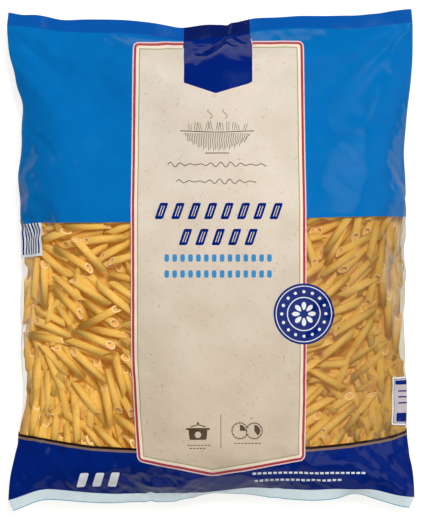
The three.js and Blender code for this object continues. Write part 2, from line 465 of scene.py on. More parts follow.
def softened_gap(gap):
    """How deep the film could sink between the penne, smoothed as taut film smooths it."""
    sink = np.minimum(gap, DEEPEST_DENT)
    weights = np.exp(-0.5 * (np.arange(-9, 10) / DENT_SOFTNESS) ** 2)
    weights /= weights.sum()

    def smoothed(line):
        return np.convolve(np.pad(line, 9, mode="edge"), weights, mode="valid")

    for axis in (0, 1):
        sink = np.apply_along_axis(smoothed, axis, sink)
    return sink


def sampled(field, low, around, along):
    """A field of one value for each millimetre from its low corner, read between its values."""
    place = np.stack([around - low[0], along - low[1]], -1)
    place = np.clip(place, 0, np.array(field.shape) - 1.001)
    base = place.astype(int)
    part = place - base
    x, y = base[..., 0], base[..., 1]
    low_row = field[x, y] * (1 - part[..., 0]) + field[x + 1, y] * part[..., 0]
    high_row = field[x, y + 1] * (1 - part[..., 0]) + field[x + 1, y + 1] * part[..., 0]
    return low_row * (1 - part[..., 1]) + high_row * part[..., 1]


left_sink = softened_gap(left_gap)
right_sink = softened_gap(right_gap)

# Sharp folds fan out of the seals, where the flat strip gathers the round tube: where each starts on the
# bottom seal or the top seal, how it leans, how far it reaches, its height and its half width.
BOTTOM_FOLDS = (
    (-186, 0.9, 52, 1.5, 9), (-160, -0.3, 44, 1.3, 10), (-132, -0.9, 50, 1.5, 11), (-104, 0.9, 46, 1.4, 9),
    (-76, -0.5, 40, 1.2, 9), (-44, 0.8, 34, 1.3, 8), (-14, -0.5, 30, 1.2, 8), (26, 0.6, 34, 1.4, 9),
    (60, -0.8, 38, 1.5, 10), (92, 0.3, 46, 1.2, 9), (124, -0.7, 50, 1.6, 11), (152, 0.4, 44, 1.2, 9),
    (198, -0.97, 74, 1.9, 12),
)
TOP_FOLDS = (
    (-172, 0.4, 60, 1.2, 12), (-130, -0.3, 50, 1.0, 11), (-98, 0.5, 40, 1.1, 9), (-50, 0.3, 46, 1.2, 9),
    (24, -0.4, 50, 1.4, 9), (66, 0.3, 40, 0.9, 10), (118, -0.4, 52, 1.0, 12), (164, -0.6, 60, 1.2, 12),
)


def seal_folds(around, along):
    """Height of the sharp folds, which rise within 9 mm of a seal and die out at their reach."""
    total = 0
    for folds, rise in ((BOTTOM_FOLDS, HALF_LENGTH + along), (TOP_FOLDS, HALF_LENGTH - along)):
        for foot, lean, reach, height, half_width in folds:
            away = np.abs(around - foot - lean * rise) / half_width
            fading = np.clip(rise / 9, 0, 1) * np.clip(1 - rise / reach, 0, 1)
            total = total + height * np.clip(1 - away, 0, 1) * fading
    return total


def film_relief(around, along):
    """How far the film stands out from its filled form: soft dents, draping in the windows, and folds."""
    dents = 0.6 * soft_noise(around, along, 23.0, 5) + 0.18 * soft_noise(around, along, 11.0, 6)
    dents = dents + 0.9 * soft_noise(around, along, 47.0, 8)
    dents = dents * np.clip((HALF_LENGTH - np.abs(along)) / 30, 0.0, 1)
    for sink, (low, high) in ((left_sink, LEFT_STRETCH), (right_sink, RIGHT_STRETCH)):
        inside = np.minimum.reduce([around - low[0], high[0] - around, along - low[1], high[1] - along])
        share = np.clip((inside - 8) / 12, 0, 1)
        draped = -0.55 * (sampled(sink, low, around, along) - 0.9)
        dents = dents * (1 - 0.6 * share) + share * draped
    return dents + seal_folds(around, along)


def film_surface(around, along):
    """Points of the finished film."""
    point, out = film_frame(around, along)
    return point + out * film_relief(around, along)[..., None]


def tube_faces(step_count, row_count):
    """Faces of a tube of rings, row by row."""
    faces = []
    for row in range(row_count - 1):
        for step in range(step_count):
            after = (step + 1) % step_count
            low = row * step_count
            faces.append((low + step, low + after, low + step_count + after, low + step_count + step))
    return faces


# The film's inner face, to find how much room a piece has under it.
ROOM_PITCH = 3.25
room_steps = round(2 * HALF_TUBE / ROOM_PITCH)
room_rows = round(2 * HALF_LENGTH / ROOM_PITCH) + 1
room_grid = np.meshgrid(
    (np.arange(room_steps) / room_steps - 0.5) * 2 * HALF_TUBE,
    np.linspace(-HALF_LENGTH, HALF_LENGTH, room_rows),
)
room_points = film_surface(*room_grid).reshape(-1, 3).tolist()
film_tree = BVHTree.FromPolygons(room_points, tube_faces(room_steps, room_rows))


def under_film(around, along, depth):
    """Points at a depth inside the filled form."""
    point, out = film_frame(around, along)
    return point - out * np.asarray(depth)[..., None]


# Each laid penne is bent round the packet as a straight piece between the places of its two ends, then
# pushed inwards until it clears the film. The few that still don't fit are left out.
FILM_CLEARANCE = 0.7
half = laid_length / 2
reach_around = half * np.cos(laid_angle)
reach_along = half * np.sin(laid_angle)
reach_deep = half * laid_slope
first = under_film(laid_around - reach_around, laid_along - reach_along, laid_depth - reach_deep)
last = under_film(laid_around + reach_around, laid_along + reach_along, laid_depth + reach_deep)
penne_axis = last - first
penne_axis /= np.linalg.norm(penne_axis, axis=1, keepdims=True)
penne_middle = (first + last) / 2
middle_out = film_frame(laid_around, laid_along)[1]
fits = np.ones(len(laid), bool)
for number in range(len(laid)):
    radius = laid_radius[number]
    axis = Vector(penne_axis[number])
    middle = Vector(penne_middle[number])
    for attempt in range(6):
        worst = 0.0
        for share in (-1, -0.7, -0.35, 0, 0.35, 0.7, 1):
            place = middle + axis * share * (half[number] + 0.9 * radius)
            nearest, out, face, distance = film_tree.find_nearest(place)
            room = math.copysign(distance, (nearest - place).dot(out))
            short = (0.9 if abs(share) == 1 else 1.0) * radius + FILM_CLEARANCE - room
            if short > worst:
                worst = short
                push = out
        if worst <= 0:
            break
        middle -= push * worst
    fits[number] = worst < 0.4
    penne_middle[number] = middle


def penne_mesh(name, chosen, around_count, hollow):
    """One mesh of many penne. Each is a tube with slanted ends, ridged and open if hollow, else solid.

    A piece is made of loops of points around it: the outer wall's two ends, then the bore's. The ends of a
    solid piece have the bore's colour, which is painted shade. Each piece gets a tone of its own.
    """
    turn = np.arange(around_count) * 2 * math.pi / around_count
    ridge = np.where(np.arange(around_count) % 2, 0, RIDGE_DEPTH) if hollow else np.zeros(around_count)
    loops = [(turn, ridge, 0.0, -1), (turn, ridge, 0.0, 1)]
    if hollow:
        inner_turn = turn[::2]
        loops += [(inner_turn, 0 * inner_turn, PENNE_WALL, -1), (inner_turn, 0 * inner_turn, PENNE_WALL, 1)]
    roll = penne_rng.uniform(0, 2 * math.pi, len(chosen))
    axis = penne_axis[chosen]
    side = np.cross(axis, middle_out[chosen])
    side /= np.linalg.norm(side, axis=1, keepdims=True)
    up = np.cross(side, axis)
    turned_side = np.cos(roll)[:, None] * side + np.sin(roll)[:, None] * up
    turned_up = -np.sin(roll)[:, None] * side + np.cos(roll)[:, None] * up
    radius = laid_radius[chosen]
    length = laid_length[chosen]
    points = []
    for loop_turn, loop_ridge, wall, end in loops:
        distance = radius[:, None] - loop_ridge - wall
        across = distance * np.cos(loop_turn)
        over = distance * np.sin(loop_turn)
        reach = end * length[:, None] / 2 + across * CUT_SLOPE
        points.append(
            penne_middle[chosen][:, None]
            + reach[..., None] * axis[:, None]
            + across[..., None] * turned_side[:, None]
            + over[..., None] * turned_up[:, None]
        )
    points = np.concatenate(points, axis=1)
    per_piece = points.shape[1]
    quads = []
    cuts = []
    count = around_count
    for i in range(count):
        after = (i + 1) % count
        quads.append((i, after, count + after, count + i))
    if hollow:
        inner = count // 2
        low_inner = 2 * count
        high_inner = low_inner + inner
        for i in range(inner):
            after = (i + 1) % inner
            quads.append((high_inner + i, high_inner + after, low_inner + after, low_inner + i))
            for outer, inside, flip in ((0, low_inner, False), (count, high_inner, True)):
                a, b, c = outer + 2 * i, outer + 2 * i + 1, outer + (2 * i + 2) % count
                faces = ((a, inside + i, b), (b, inside + i, inside + after), (b, inside + after, c))
                cuts += [face[::-1] if flip else face for face in faces]
    else:
        cuts += [tuple(range(count))[::-1], tuple(range(count, 2 * count))]
    starts = np.arange(len(chosen)) * per_piece
    faces = []
    for start in starts:
        faces += [[start + corner for corner in face] for face in quads + cuts]
    mesh = bpy.data.meshes.new(name)
    mesh.from_pydata((points.reshape(-1, 3) / 1000).tolist(), [], faces)
    is_cut = np.tile([False] * len(quads) + [True] * len(cuts), len(chosen))
    inner_wall = np.tile([False] * count + [True] * (len(quads) - count) + [False] * len(cuts), len(chosen))
    mesh.polygons.foreach_set("use_smooth", ~is_cut)
    # Cut ends of hollow pieces take the painted highlight; bore walls and the ends of solid pieces take the
    # painted shade.
    cut_slot = 1 if hollow else 2
    mesh.polygons.foreach_set("material_index", np.where(is_cut, cut_slot, np.where(inner_wall, 2, 0)))
    tone = penne_rng.uniform(0, 1, len(chosen))
    attribute = mesh.attributes.new("baked_tone", "FLOAT", "POINT")
    attribute.data.foreach_set("value", np.repeat(tone, per_piece))
    mesh.update()
    return mesh


def linear(colour):
    """An sRGB hex colour as linear light, with alpha."""
    parts = [int(colour[i:i + 2], 16) / 255 for i in (1, 3, 5)]
    return tuple(p / 12.92 if p <= 0.04045 else ((p + 0.055) / 1.055) ** 2.4 for p in parts) + (1.0,)


def add_node(tree, kind, settings=None, links=None):
    """A node with its settings, by attribute or input, and what is linked to its inputs."""
    node = tree.nodes.new("ShaderNode" + kind)
    for name, value in (settings or {}).items():
        if isinstance(name, str) and hasattr(node, name):
            setattr(node, name, value)
        else:
            node.inputs[name].default_value = value
    for name, socket in (links or {}).items():
        tree.links.new(socket, node.inputs[name])
    return node


def new_material(name):
    """An empty material and its node tree."""
    material = bpy.data.materials.new(name)
    material.use_nodes = True
    material.node_tree.nodes.clear()
    return material, material.node_tree


# Dried durum dough, extruded through bronze: matt, golden, a little darker or paler from piece to piece,
# with a floury bloom. The cut ends are painted paler, a painted highlight where film and light catch the
# tips, and the bore is painted darker and browner, as painted shade. All of it has a faint painted glow,
# painted light that lifts the shade between the penne.
def dried_dough(name, light, dark, roughness):
    material, tree = new_material(name)
    tone = add_node(tree, "Attribute", {"attribute_name": "baked_tone"})
    where = add_node(tree, "TexCoord")
    bloom = add_node(tree, "TexNoise", {"Scale": 220.0, "Detail": 3.0}, {"Vector": where.outputs["Object"]})
    mixed = add_node(
        tree,
        "Math",
        {"operation": "MULTIPLY_ADD", 1: 0.55},
        {0: tone.outputs["Fac"], 2: bloom.outputs["Fac"]},
    )
    centred = add_node(
        tree, "Math", {"operation": "SUBTRACT", 1: 0.28, "use_clamp": True}, {0: mixed.outputs[0]}
    )
    colour = add_node(
        tree, "Mix", {"data_type": "RGBA", 6: linear(dark), 7: linear(light)}, {0: centred.outputs[0]}
    )
    grain = add_node(tree, "TexNoise", {"Scale": 900.0, "Detail": 2.0}, {"Vector": where.outputs["Object"]})
    bump = add_node(tree, "Bump", {"Strength": 0.25, "Distance": 0.0003}, {"Height": grain.outputs["Fac"]})
    shader = add_node(
        tree,
        "BsdfPrincipled",
        {
            "Roughness": roughness,
            "IOR": 1.45,
            # Emission: a faint painted glow, painted light that lifts the shade in the gaps.
            "Emission Color": linear("#ECB04A"),
            "Emission Strength": 0.12,
        },
        {"Base Color": colour.outputs[2], "Normal": bump.outputs["Normal"]},
    )
    add_node(tree, "OutputMaterial", None, {"Surface": shader.outputs["BSDF"]})
    return material


dough_outside = dried_dough("extruded_durum_dough", "#F0C96E", "#DFAC4C", 0.5)
# Cut ends: painted paler, a painted highlight on the tips.
dough_cut_highlight = dried_dough("painted_highlight_cut_durum_dough", "#FCEBC4", "#F5DBA4", 0.6)
# Bore and the ends of solid pieces: darker and browner, painted shade.
dough_bore_shade = dried_dough("painted_shade_durum_dough_bore", "#F0C67C", "#DBA456", 0.6)

# The penne nearest the film are made whole. The rest, seen only in the gaps, are plain solid ones.
WHOLE_PENNE = 840
shallow_first = np.argsort(laid_depth)
shallow_first = shallow_first[fits[shallow_first]]
for name, chosen, around_count, hollow in (
    ("penne_at_the_film", shallow_first[:WHOLE_PENNE], 36, True),
    ("penne_deeper_in", shallow_first[WHOLE_PENNE:], 14, False),
):
    pieces = bpy.data.objects.new(name, penne_mesh(name, chosen, around_count, hollow))
    bpy.context.scene.collection.objects.link(pieces)
    for material in (dough_outside, dough_cut_highlight, dough_bore_shade):
        pieces.data.materials.append(material)
    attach(pieces, "root")
    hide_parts("bag")


# Deep pasta. What lies deeper than three or four penne only shows as a dark lumpy mass in the gaps, so
# one closed skin of the same dough stands in for it, 23 mm inside the film. Where the packet is thin it
# lies just off the middle between front and back.
CORE_DEPTH = 23.0
CORE_LUMPS = 3.0
CORE_STEPS = 118
CORE_BOTTOM = -218
CORE_TOP = 222
core_around = np.arange(-HALF_TUBE, HALF_TUBE, 2 * HALF_TUBE / CORE_STEPS)
core_along = np.linspace(CORE_BOTTOM, CORE_TOP, 64)
around_grid, along_grid = np.meshgrid(core_around, core_along)
core_point, core_out = film_frame(around_grid, along_grid)
core_depth = CORE_DEPTH + CORE_LUMPS * soft_noise(around_grid, along_grid, 11.0, 21)
for index in np.ndindex(core_depth.shape):
    inward = -Vector(core_out[index])
    start = Vector(core_point[index]) - inward
    across = 0.0
    for hit in range(4):
        place, out, face, distance = film_tree.ray_cast(start, inward)
        if place is None:
            break
        if out.dot(inward) > 0:
            across = (place - Vector(core_point[index])).dot(inward)
            break
        start = place + inward * 0.1
    core_depth[index] = min(core_depth[index], 0.46 * across)
core_point -= core_out * core_depth[..., None]
for index in np.ndindex(core_depth.shape):
    nearest, out, face, distance = film_tree.find_nearest(Vector(core_point[index]))
    room = (nearest - Vector(core_point[index])).dot(out)
    core_point[index] -= np.array(out) * max(0.0, FILM_CLEARANCE - room)
ring_count = len(core_around)
core_faces = tube_faces(ring_count, len(core_along))
core_faces.append(tuple(range(ring_count))[::-1])
core_faces.append(tuple(range((len(core_along) - 1) * ring_count, len(core_along) * ring_count)))
core_mesh = bpy.data.meshes.new("deep_pasta")
core_mesh.from_pydata((core_point.reshape(-1, 3) / 1000).tolist(), [], core_faces)
core_mesh.polygons.foreach_set("use_smooth", [True] * len(core_mesh.polygons))
deep_pasta = bpy.data.objects.new("deep_pasta", core_mesh)
bpy.context.scene.collection.objects.link(deep_pasta)

# The same dried dough in the shade of the penne above it: painted browner, in blotches the size of a penne's
# end, with a faint painted glow that lifts the shade.
deep_material, deep_tree = new_material("shaded_durum_dough")
deep_where = add_node(deep_tree, "TexCoord")
deep_cells = add_node(
    deep_tree, "TexNoise", {"Scale": 130.0, "Detail": 2.0}, {"Vector": deep_where.outputs["Object"]}
)
deep_colour = add_node(
    deep_tree,
    "Mix",
    {"data_type": "RGBA", 6: linear("#C8935A"), 7: linear("#E6B868")},
    {0: deep_cells.outputs["Fac"]},
)
deep_shader = add_node(
    deep_tree,
    "BsdfPrincipled",
    {"Roughness": 0.7, "IOR": 1.45, "Emission Color": linear("#DC9E4C"), "Emission Strength": 0.14},
    {"Base Color": deep_colour.outputs[2]},
)
add_node(deep_tree, "OutputMaterial", None, {"Surface": deep_shader.outputs["BSDF"]})
core_mesh.materials.append(deep_material)
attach(deep_pasta, "root")
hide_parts("bag")


# Print. The film is reverse printed in flat inks before it is made into a tube. Front shapes are laid out
# as they show on the filled packet, in millimetres, and then found on the film. The rest is laid out on
# the film itself. Later shapes lie over earlier ones.
print_areas = []


def rounded(corners, radius, steps=6):
    """A closed outline with each corner rounded."""
    outline = []
    for index, corner in enumerate(corners):
        here = np.array(corner, float)
        before = np.array(corners[index - 1], float) - here
        after = np.array(corners[(index + 1) % len(corners)], float) - here
        before_length = np.linalg.norm(before)
        after_length = np.linalg.norm(after)
        cut = min(radius, before_length * 0.45, after_length * 0.45)
        start = here + before / before_length * cut
        end = here + after / after_length * cut
        for step in range(steps + 1):
            t = step / steps
            outline.append(tuple((1 - t) ** 2 * start + 2 * t * (1 - t) * here + t**2 * end))
    return outline


def inset(corners, distance):
    """An outline moved inwards. Its corners run anticlockwise."""
    moved = []
    for index, corner in enumerate(corners):
        here = np.array(corner, float)
        before = here - np.array(corners[index - 1], float)
        after = np.array(corners[(index + 1) % len(corners)], float) - here
        before /= np.linalg.norm(before)
        after /= np.linalg.norm(after)
        normal_before = np.array((-before[1], before[0]))
        normal_after = np.array((-after[1], after[0]))
        middle = normal_before + normal_after
        moved.append(tuple(here + middle * distance / (1 + normal_before @ normal_after)))
    return moved


def rectangle(left, low, right, high):
    return [(left, low), (right, low), (right, high), (left, high)]


def slanted(left, low, width, height, lean):
    """A rectangle whose top stands further right than its foot."""
    top = low + height
    return [(left, low), (left + width, low), (left + width + lean, top), (left + lean, top)]


def round_point(middle, radius, angle):
    """A point of a circle, at an angle from its right."""
    return (middle[0] + radius * math.cos(angle), middle[1] + radius * math.sin(angle))


def circle(x, y, radius, count):
    return [round_point((x, y), radius, turn) for turn in np.arange(count) * 2 * math.pi / count]


def stroke(points, width):
    """A line of a given width through a few points, as an outline."""
    points = np.array(points, float)
    along = np.gradient(points, axis=0)
    along /= np.linalg.norm(along, axis=1, keepdims=True)
    side = np.stack([-along[:, 1], along[:, 0]], 1) * width / 2
    return [tuple(p) for p in points + side] + [tuple(p) for p in (points - side)[::-1]]


def split_long(outline, step=4.0):
    """The outline with no side longer than a step, so that it can bend over the form."""
    result = []
    for index, here in enumerate(outline):
        there = outline[(index + 1) % len(outline)]
        pieces = max(1, math.ceil(math.dist(here, there) / step))
        for piece in range(pieces):
            share = piece / pieces
            x = here[0] + (there[0] - here[0]) * share
            y = here[1] + (there[1] - here[1]) * share
            result.append((x, y))
    return result


def print_seen(ink, outline):
    """Prints a shape given as it shows from the front."""
    x, y = np.array(split_long(outline)).T
    print_flat(ink, np.stack(sight_line(x, y), 1))


def print_flat(ink, outline):
    """Prints a shape given on the film itself. Its outline is kept anticlockwise."""
    outline = np.array(split_long(outline), float)
    x, y = outline.T
    anticlockwise = (x * np.roll(y, -1) - y * np.roll(x, -1)).sum() > 0
    print_areas.append((ink, outline if anticlockwise else outline[::-1]))


TOP_STRIP = 13.5
BOTTOM_STRIP = 11.0
FILM_TOP = HALF_LENGTH + TOP_STRIP
FILM_BOTTOM = -HALF_LENGTH - BOTTOM_STRIP
SIDE_REACH = 212.0


def line_round_the_tube(seen_points, back_level):
    """A line round the whole tube: as seen across the front, and level round the back."""
    x = np.arange(-176, 181, 6.0)
    y = curve(seen_points, x)
    around, along = sight_line(x, y)
    left_rise = (along[0] - along[3]) / (around[0] - around[3])
    right_rise = (along[-1] - along[-4]) / (around[-1] - around[-4])
    left_side = (-SIDE_REACH, along[0] + left_rise * (-SIDE_REACH - around[0]))
    right_side = (SIDE_REACH, along[-1] + right_rise * (SIDE_REACH - around[-1]))
    left = [(-HALF_TUBE, back_level), (-290, back_level), left_side]
    right = [right_side, (290, back_level), (HALF_TUBE, back_level)]
    return left + list(zip(around, along)) + right


# Left side panel: a white field with even navy stripes, which runs up under the blue.
print_flat("white", rectangle(-267, 3.4, -175, 42))
for start in np.arange(-262, -180, 3.9):
    print_flat("navy", rectangle(start, 6, start + 1.9, 42))

# Blue field over the top half, and a navy band with a black and a silver line around the foot.
BLUE_EDGE = ((-190, 36.5), (-82, 37.2), (97, 41.7), (190, 43.7))
BAND_EDGE = (
    (-192, -173.5), (-160, -180.3), (-120, -186.3), (-80, -188.6), (0, -191), (97, -187.7), (140, -183.5),
    (175, -178), (197, -172.5),
)
band_top = line_round_the_tube(BAND_EDGE, -186)
band_silver = [(x, y - 2.6) for x, y in band_top]
band_navy = [(x, y - 5.0) for x, y in band_top]
bottom_corners = [(HALF_TUBE, -HALF_LENGTH), (-HALF_TUBE, -HALF_LENGTH)]
print_flat("blue", line_round_the_tube(BLUE_EDGE, 40) + [(HALF_TUBE, FILM_TOP), (-HALF_TUBE, FILM_TOP)])
print_flat("black", band_top + bottom_corners)
print_flat("silver", band_silver + bottom_corners)
print_flat("navy", band_navy + bottom_corners)

# Cut edge of the bottom strip: the two clear layers pick up a thin teal line there.
EDGE_LINE = FILM_BOTTOM + 0.9
print_flat("teal", rectangle(-HALF_TUBE, FILM_BOTTOM, HALF_TUBE, EDGE_LINE))

# Right side panel: a framed field with a navy bar at its head and at its foot, and three thin ones. Its
# field is white ink painted a lilac grey, painted shade and haze on that side of the packet.
SIDE_FIELDS = (
    ("white", 185.5, -170.5, 282.0, -121.5), ("navy", 187.2, -168.8, 280.3, -123.2),
    ("pearl", 187.8, -168.2, 279.7, -123.8), ("navy", 189.0, -129.5, 278.5, -125.0),
    ("navy", 191.0, -167.0, 278.5, -158.0), ("navy", 193.0, -136.7, 274.0, -135.3),
    ("navy", 193.0, -142.7, 274.0, -141.3), ("navy", 193.0, -148.7, 274.0, -147.3),
)
for ink, *field in SIDE_FIELDS:
    print_flat(ink, rounded(rectangle(*field), 1.2, 3))

# Label: a cream paper field with a border of thin lines and a shallow point at its foot.
LABEL = [
    (-77.5, 217.5), (-79.7, 60), (-79.6, -100), (-73.5, -202.5), (1.5, -217.0), (95.0, -201.0),
    (96.3, -100), (96.0, 60), (93.0, 218.5),
]
for ink, distance in (("pale", 0.0), ("red", 1.1), ("ivory", 3.5), ("green", 6.2), ("paper", 7.3)):
    print_seen(ink, rounded(inset(LABEL, distance), max(6.5 - distance, 1.0)))

# Badge: a bare navy pennant with a pale edge, hanging from the top seal.
BADGE_LEFT = -27.3
BADGE_RIGHT = 42.3
BADGE_MIDDLE = 5.2
BADGE_SHOULDER = 176.2
BADGE_POINT = 165.6
BADGE_HEAD = 232.0
LAST_SEEN = 214


def hanging(distance):
    """The pennant's outline on the film: as seen below the top seal, and straight up to the cut edge."""
    left_edge = BADGE_LEFT + distance
    right_edge = BADGE_RIGHT - distance
    shoulder = BADGE_SHOULDER + distance
    levels = np.arange(LAST_SEEN, shoulder, -4)
    left = [(left_edge, y) for y in levels]
    right = [(right_edge, y) for y in levels[::-1]]
    point = (BADGE_MIDDLE, BADGE_POINT + distance)
    foot = split_long([(left_edge, shoulder), point, (right_edge, shoulder)])
    foot = foot[:foot.index((right_edge, shoulder))]
    x, y = np.array(left + foot + right).T
    around, along = sight_line(x, y)
    return [(around[0], FILM_TOP)] + list(zip(around, along)) + [(around[-1], FILM_TOP)]


for ink, distance in (("pale", 0.0), ("navy", 0.6)):
    print_flat(ink, hanging(distance))
head_left = hanging(0.0)[0][0]
head_right = hanging(0.0)[-1][0]
head = [(head_left, FILM_TOP), (head_left, BADGE_HEAD), (head_right, BADGE_HEAD), (head_right, FILM_TOP)]
print_flat("navy", head)

# Round seal: navy, with white rings, a ring of dots and a plain eight-petalled rosette.
SEAL_AT = (93.5, -54.5)
for ink, radius in (("navy", 30.5), ("white", 28.2), ("navy", 27.4), ("white", 17.0), ("navy", 16.0)):
    print_seen(ink, circle(*SEAL_AT, radius, 64))
for number in range(16):
    print_seen("white", circle(*round_point(SEAL_AT, 22.2, number * math.pi / 8), 1.6, 12))
PETAL = ((3.2, 0.0), (6.5, -2.1), (10.2, -2.3), (12.6, 0.0), (10.2, 2.3), (6.5, 2.1))
for number in range(8):
    way = np.array(round_point((0, 0), 1, number * math.pi / 4))
    side = np.array((-way[1], way[0]))
    petal = [tuple(np.array(SEAL_AT) + (way * out + side * over)) for out, over in PETAL]
    print_seen("white", rounded(petal, 2.0, 4))

# Line drawing: a wide bowl of pasta in brown hatching, with two curls of steam.
BOWL_X = 6.5
BOWL_RIM = 128.0
for number in range(39):
    share = number / 19 - 1
    x = BOWL_X + share * 34
    drop = 18 * math.sqrt(max(0.0, 1 - share**2))
    foot = BOWL_RIM - drop + 1.6 * math.sin(number * 2.1)
    if drop > 3:
        hatch = [(x, BOWL_RIM - 1.5), (x + 0.8, BOWL_RIM - drop / 2), (x - share * 1.5, foot)]
        print_seen("brown", stroke(hatch, 0.55))
rim = [(BOWL_X + 37 * t, BOWL_RIM - 0.6 * math.cos(3 * t)) for t in np.linspace(-1, 1, 16)]
print_seen("brown", stroke(rim, 0.9))
print_seen("brown", stroke([(BOWL_X - 12, BOWL_RIM - 21.5), (BOWL_X + 12, BOWL_RIM - 21.5)], 0.9))
for number in range(11):
    x = BOWL_X - 27 + number * 5.4
    height = 3.5 + 6 * math.cos((number - 5) / 5.6) + 1.1 * math.sin(number * 1.9)
    lean = 2.4 * math.sin(number * 2.7)
    for left in (x - 1.1, x + 1.1):
        top = (left + lean, BOWL_RIM + height)
        blade = [(left, BOWL_RIM + 1.0), (left + lean / 2, BOWL_RIM + height / 2), top]
        print_seen("brown", stroke(blade, 0.5))
for start in (-7, 8):
    steam_x = BOWL_X + start
    steam = [(steam_x + 2.2 * math.sin(t * 5.5), BOWL_RIM + 13 + 9 * t) for t in np.linspace(0, 1, 12)]
    print_seen("brown", stroke(steam, 0.6))

# Ornaments of the label: two brown curls, rows of small ridged tubes, and rows of beads.
for level, left, right in ((95, -43, 57), (78, -34, 47)):
    x = np.arange(left, right, 1.0)
    y = level + 2.6 * np.sin((x - left) * 0.62) * (0.6 + 0.4 * np.sin(x * 0.11))
    print_seen("brown", stroke(list(zip(x, y)), 0.8))
for level, left, count in ((48.5, -56, 8), (22.5, -32, 5)):
    for number in range(count):
        x = left + number * 16.4
        print_seen("navy", rounded(slanted(x, level - 8.2, 8.4, 16.4, 5.6), 1.8, 3))
        for lane in (2.6, 5.0):
            ridge = [(x + lane + 1.6, level - 5.2), (x + lane + 5.1, level + 5.2)]
            print_seen("paper", stroke(ridge, 0.8))
for level, left, count in ((1.5, -46, 14), (-14.5, -46, 14)):
    for number in range(count):
        x = left + number * 7.9
        print_seen("azure", rounded(rectangle(x, level - 3.8, x + 4.6, level + 3.8), 2.2, 3))

# Two plain pictures at the label's foot, a lidded pot and two dials, with a fine line between them.
pot = [(-21, -180.5), (-4, -180.5), (-3, -170), (-22, -170)]
print_seen("brown", rounded(pot, 1.6, 3))
print_seen("brown", rounded(rectangle(-24.5, -170.6, -0.5, -168.6), 0.9, 3))
print_seen("brown", stroke([(-20, -167.4), (-12.5, -165.3), (-5, -167.4)], 1.0))
print_seen("brown", circle(-12.5, -163.8, 1.2, 12))
print_seen("paper", circle(-12.5, -175.4, 3.2, 20))
print_seen("brown", stroke([(10.5, -155), (10.5, -189)], 0.6))
DIAL_Y = -171.5
for x, shaded in ((29.5, 0.25), (43.8, 0.4)):
    print_seen("brown", circle(x, DIAL_Y, 8.4, 32))
    print_seen("paper", circle(x, DIAL_Y, 7.5, 32))
    turns = np.linspace(0, shaded * 2 * math.pi, 9)
    wedge = [(x, DIAL_Y)] + [(x + 6 * math.sin(turn), DIAL_Y + 6 * math.cos(turn)) for turn in turns]
    print_seen("brown", wedge[::-1])
    for number in range(12):
        tick = [round_point((x, DIAL_Y), radius, number * math.pi / 6) for radius in (6.4, 7.6)]
        print_seen("brown", stroke(tick, 0.5))
for level, left, right in ((-186, -23, -2), (-189, -21, -4), (-184, 24, 49)):
    for x in np.arange(left, right, 3.4):
        print_seen("brown", stroke([(x, level), (x + 2.3, level)], 0.9))

# White marks on the navy band: three small tubes, and two rows of dashes.
for number in range(3):
    print_seen("white", rounded(slanted(-134 + number * 15.5, -227, 8.5, 13.5, 4), 1.8, 3))
for level, left, right in ((-213.5, 42, 152), (-220.5, 44, 128)):
    for x in np.arange(left, right, 5.2):
        print_seen("white", stroke([(x, level), (x + 3.6, level)], 2.0))

# Back panel: a white field with blocks of blue and navy and plain rules.
print_flat("white", rectangle(318, -176, HALF_TUBE, 26))
print_flat("white", rectangle(-HALF_TUBE, -176, -318, 26))
for left, right in ((322, 396), (-396, -322)):
    print_flat("blue", rectangle(left, 8, right, 20))
    for number in range(14):
        level = -10.5 * number
        print_flat("navy", rectangle(left, level - 1.4, right - 8 * (number % 3), level))


# Film mesh. The whole tube is one sheet, cut down the middle of the back, where the fin seal covers it.
# Its triangles follow the print, so that each ink ends on a clean edge.
FILM_PITCH = 3.0
LONGEST_SIDE = 12.0
grid_around = np.linspace(-HALF_TUBE, HALF_TUBE, round(2 * HALF_TUBE / FILM_PITCH) + 1)
grid_along = np.concatenate([
    np.linspace(FILM_BOTTOM, -HALF_LENGTH, 5)[:-1],
    np.linspace(-HALF_LENGTH, HALF_LENGTH, round(2 * HALF_LENGTH / FILM_PITCH) + 1),
    np.linspace(HALF_LENGTH, FILM_TOP, 6)[1:],
])
flat_places = [Vector(place) for place in np.stack(np.meshgrid(grid_around, grid_along), -1).reshape(-1, 2)]
loops = []
for ink, outline in print_areas:
    loops.append(list(range(len(flat_places), len(flat_places) + len(outline))))
    flat_places += [Vector(place) for place in outline]
cut = delaunay_2d_cdt(flat_places, [], loops, 0, 0.01, True)
film_flat = np.array([tuple(place) for place in cut[0]])
all_faces = np.array([list(face) for face in cut[2]])
face_sides = film_flat[all_faces] - film_flat[np.roll(all_faces, 1, axis=1)]
whole = np.linalg.norm(face_sides, axis=2).max(1) < LONGEST_SIDE
film_faces = all_faces[whole]
film_inks = [print_areas[max(owners)][0] if owners else "window" for owners in cut[5]]
film_inks = [ink for ink, kept in zip(film_inks, whole) if kept]


def film_normals(around, along):
    """The film's outward directions at places on it."""
    reach = 1.0
    over = film_surface(around + reach, along) - film_surface(around - reach, along)
    up = film_surface(around, along + reach) - film_surface(around, along - reach)
    out = np.cross(over, up)
    return out / np.maximum(np.linalg.norm(out, axis=-1, keepdims=True), 1e-9)


film_points = film_surface(film_flat[:, 0], film_flat[:, 1])
film_out = film_normals(film_flat[:, 0], film_flat[:, 1])
middle_around, middle_along = film_flat[film_faces].mean(1).T


